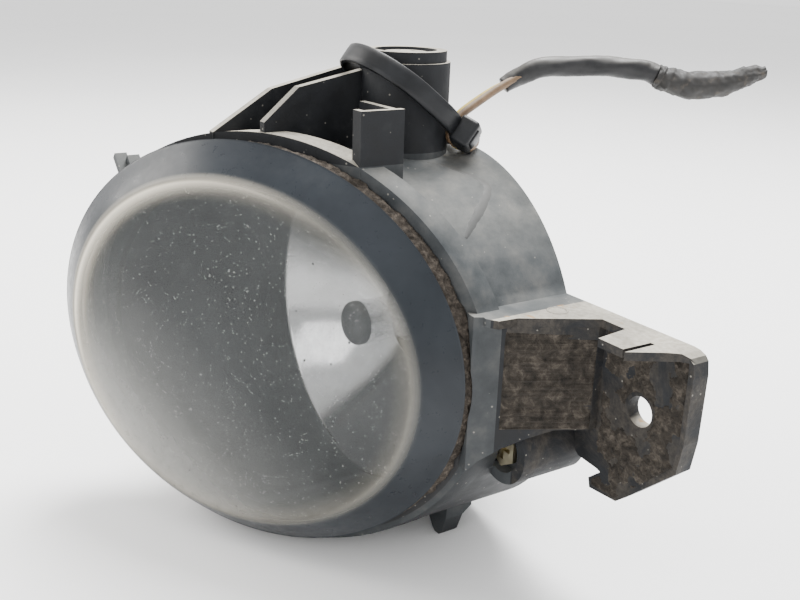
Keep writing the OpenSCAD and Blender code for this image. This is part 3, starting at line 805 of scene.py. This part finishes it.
# ---------------------------------------------------------------- dried mud on the bracket
def mud_sheet(name, point, normal, u0, u1, v0, v1, nu, nv, thick, threshold, seed, keep=None):
    """point(u, v) on the surface in lamp mm; a crust of uneven thickness where the noise is over the threshold."""
    verts, faces, h = [], [], {}
    for i in range(nu + 1):
        for j in range(nv + 1):
            u, v = u0 + (u1 - u0) * i / nu, v0 + (v1 - v0) * j / nv
            n1 = noise.fractal(Vector((u * 0.16, v * 0.16, seed)), 0.9, 2.0, 6)
            n2 = noise.fractal(Vector((u * 0.8, v * 0.8, seed + 9)), 0.8, 2.1, 5)
            edge = min(i, nu - i, j, nv - j) / 4
            t = (n1 + threshold) * min(1, edge)
            ok = t > 0 and (keep is None or keep(u, v))
            height = (min(t * 1.5, 1.0) * thick * (0.75 + 0.5 * n2)) if ok else -0.08
            h[i, j] = ok
            p = point(u, v)
            nn = normal(u, v)
            verts.append(L(*(Vector(p) + Vector(nn) * max(height, -0.08))))
    for i in range(nu):
        for j in range(nv):
            if h[i, j] or h[i + 1, j] or h[i, j + 1] or h[i + 1, j + 1]:
                a = i * (nv + 1) + j
                faces.append((a, a + nv + 1, a + nv + 2, a + 1))
    if not faces:
        return None
    used = sorted({v for f in faces for v in f})
    ix = {v: k for k, v in enumerate(used)}
    return new_object(name, [verts[v] for v in used], [tuple(ix[v] for v in f) for f in faces])


PLATE = [(61.4, 16.6), (79, 16.6), (82.6, 15.6), (83.4, 12.6), (83.4, -1.2), (82.6, -7), (72.2, -17.2), (68, -21.3), (61, -21.8), (60.4, -20.6), (63.4, -17.9), (61.4, -17.2)]


def off_hole(u, v):
    if math.hypot(u - 72, v - 0.5) < 4.2:
        return False
    hit, n = False, len(PLATE)
    for i in range(n):
        (x1, z1), (x2, z2) = PLATE[i], PLATE[(i + 1) % n]
        if (z1 > v) != (z2 > v) and u < (x2 - x1) * (v - z1) / (z2 - z1) + x1:
            hit = not hit
    return hit


mud1 = mud_sheet("mud_plate", lambda u, v: (u, 54, v), lambda u, v: (0, -1, 0), 60.5, 83.6, -21.8, 16.6, 185, 300, 0.8, 0.06, 3.1, off_hole)
w0, w1 = Vector((48.2, 30, 0)), Vector((60.4, 52, 0))
wn = Vector((w1.y - w0.y, -(w1.x - w0.x), 0)).normalized()
mud2 = mud_sheet("mud_wall", lambda u, v: (w0.x + (w1.x - w0.x) * u, w0.y + (w1.y - w0.y) * u, v), lambda u, v: wn,
                 0.22, 1.0, -8, 15.4, 170, 190, 0.9, 0.02, 8.4)
for mm_ in (mud1, mud2):
    if mm_:
        paint(mm_, MUD)
        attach(mm_, "lamp")


# ---------------------------------------------------------------- small marks: moulded ring and a wiped smear
def ring_mark(name, cx, cy, z, r, wd, hgt):
    verts, faces = [], []
    seg = 64
    for j in range(seg):
        a = 2 * math.pi * j / seg
        for rr, hh in ((r - wd, -0.05), (r - wd * 0.4, hgt), (r + wd * 0.4, hgt), (r + wd, -0.05)):
            verts.append(L(cx + rr * math.cos(a), cy + rr * math.sin(a), z + hh))
    for j in range(seg):
        q = (j + 1) % seg
        for k in range(3):
            faces.append((j * 4 + k, q * 4 + k, q * 4 + k + 1, j * 4 + k + 1))
    return new_object(name, verts, faces)


mark = paint(ring_mark("moulded_ring", 52.5, 47.2, 17.4, 2.1, 0.3, 0.14), HOUSING)
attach(mark, "lamp")

def smear(name, pts, widths, lift=0.05):
    """A wiped, darker streak on the barrel: pts are (angle in degrees, y)."""
    path = catmull([Vector((math.radians(a) * 46.2, y, 0)) for a, y in pts], 10)
    n = len(path)
    verts, faces = [], []
    for i in range(n):
        t = (path[min(i + 1, n - 1)] - path[max(i - 1, 0)]).normalized()
        side = Vector((-t.y, t.x, 0))
        s_ = i / (n - 1) * (len(widths) - 1)
        k = min(int(s_), len(widths) - 2)
        w = widths[k] + (widths[k + 1] - widths[k]) * (s_ - k)
        w *= 0.9 + 0.2 * noise.noise(Vector((i * 0.35, 0, 0)))
        for e in (-1, -0.5, 0, 0.5, 1):
            q = path[i] + side * w * e
            a = q.x / 46.2
            r = 46.2 + (lift if abs(e) < 1 else -0.05)
            verts.append(L(2.5 + r * math.cos(a), q.y, -1.8 + r * math.sin(a)))
    for i in range(n - 1):
        for k in range(4):
            faces.append((i * 5 + k, (i + 1) * 5 + k, (i + 1) * 5 + k + 1, i * 5 + k + 1))
    return new_object(name, verts, faces)


WIPED = plastic("wiped_plastic", (0.022, 0.024, 0.025), (0.040, 0.043, 0.044), (0.5, 0.7), 500, 0.35, 0.1, 0.1)
SMEAR = [(75.0, 38.7), (71.8, 42.0), (68.0, 44.7), (64.1, 47.2), (60.8, 48.1), (56.7, 45.8), (52.4, 42.1), (48.0, 38.0), (44.4, 35.0)]
streak = paint(smear("wiped_streak", SMEAR, [0.35, 0.75, 0.9, 1.0, 1.25, 1.35, 1.5, 1.2, 0.5]), WIPED)
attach(streak, "lamp")

# ---------------------------------------------------------------- floor and light
fl = bpy.data.meshes.new("floor")
zf = (-49.45 - HOLE[2]) / 1000
fl.from_pydata([(-4, -4, zf), (4, -4, zf), (4, 4, zf), (-4, 4, zf)], [], [(0, 1, 2, 3)])
floor = bpy.data.objects.new("floor", fl)
bpy.context.scene.collection.objects.link(floor)
fm, fnt, fb = mat("floor_white")
fnt.links.new(ramp(fnt, noise_tex(fnt, 3, 3), [(0.3, (0.93, 0.93, 0.93)), (0.7, (0.96, 0.96, 0.955))]), fb.inputs["Base Color"])
fb.inputs["Roughness"].default_value = 0.75
fl.materials.append(fm)

world = bpy.data.worlds.new("world")
bpy.context.scene.world = world
world.use_nodes = True
bg = world.node_tree.nodes["Background"]
bg.inputs[0].default_value = (1.0, 1.0, 1.0, 1)
bg.inputs[1].default_value = 1.5


def area(name, loc, target, size, power, color=(1, 1, 1)):
    d = bpy.data.lights.new(name, "AREA")
    d.energy = power
    d.size = size
    d.color = color
    o = bpy.data.objects.new(name, d)
    bpy.context.scene.collection.objects.link(o)
    o.location = loc
    o.rotation_euler = (Vector(target) - Vector(loc)).to_track_quat("-Z", "Y").to_euler()
    return o


centre = L(10, 30, 0)
area("top", centre + Vector((-0.15, 0.25, 0.75)), centre, 0.45, 20.0)
area("left", centre + Vector((-0.55, -0.45, 0.35)), centre, 0.4, 5.0, (1.0, 0.97, 0.92))
area("front", centre + Vector((0.25, -0.8, 0.25)), centre, 0.35, 1.6)
